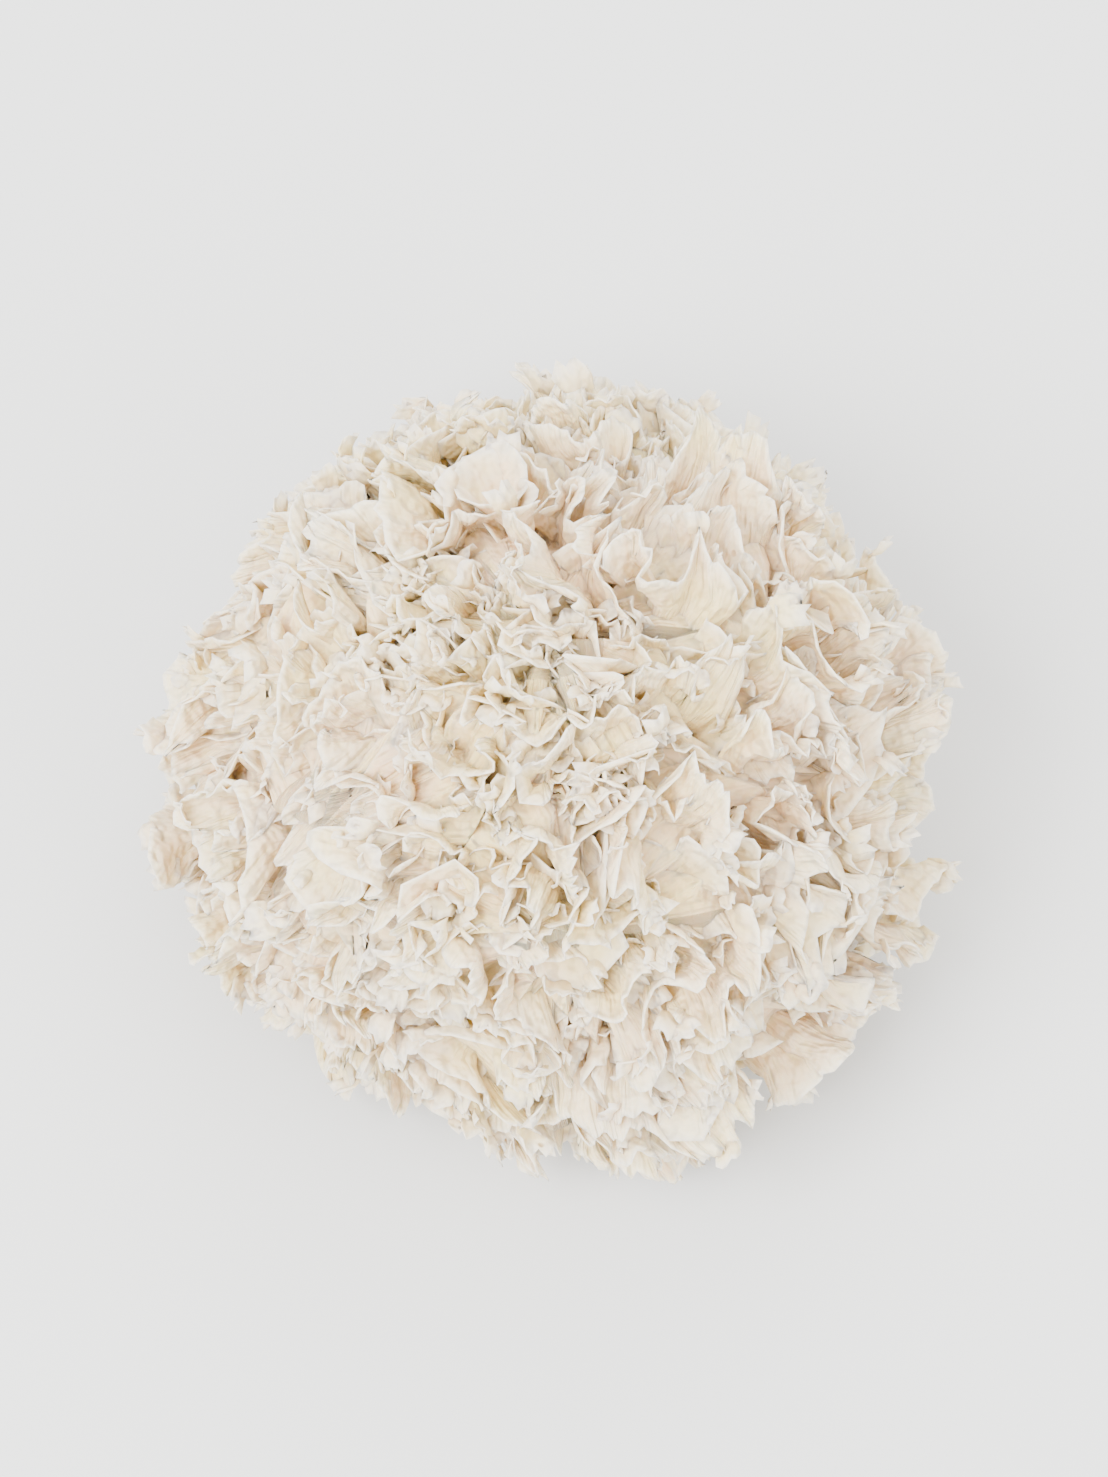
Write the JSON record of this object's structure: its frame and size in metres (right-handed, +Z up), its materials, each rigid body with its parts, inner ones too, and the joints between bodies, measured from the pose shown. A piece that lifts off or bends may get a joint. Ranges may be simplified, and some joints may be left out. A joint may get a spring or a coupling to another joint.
{
  "type": "dried snow fungus head",
  "caption": "Dried snow fungus head: ruffled, thin-edged cream fronds that fork into lobes and fill a round dome above a flat cut base.",
  "frame": {"origin": "centre of the flat cut under the base", "axes": "+Z up from the cut through the crown; +X along the wider way of the dome; +Y along its slightly narrower way"},
  "size_m": [0.1035, 0.0973, 0.0706],
  "materials": {
    "cut_base": "matte, fibrous, straw-coloured dried flesh at the cut",
    "dried_frond": "matte, crisp, slightly translucent cream dried jelly flesh"
  },
  "bodies": {
    "root": {"base": "cut_base", "frond_01": "dried_frond", "frond_02": "dried_frond", "frond_03": "dried_frond", "frond_04": "dried_frond", "frond_05": "dried_frond", "frond_06": "dried_frond", "frond_07": "dried_frond", "frond_08": "dried_frond", "frond_09": "dried_frond", "frond_10": "dried_frond", "frond_11": "dried_frond", "frond_12": "dried_frond", "frond_13": "dried_frond"}
  },
  "joints": []
}
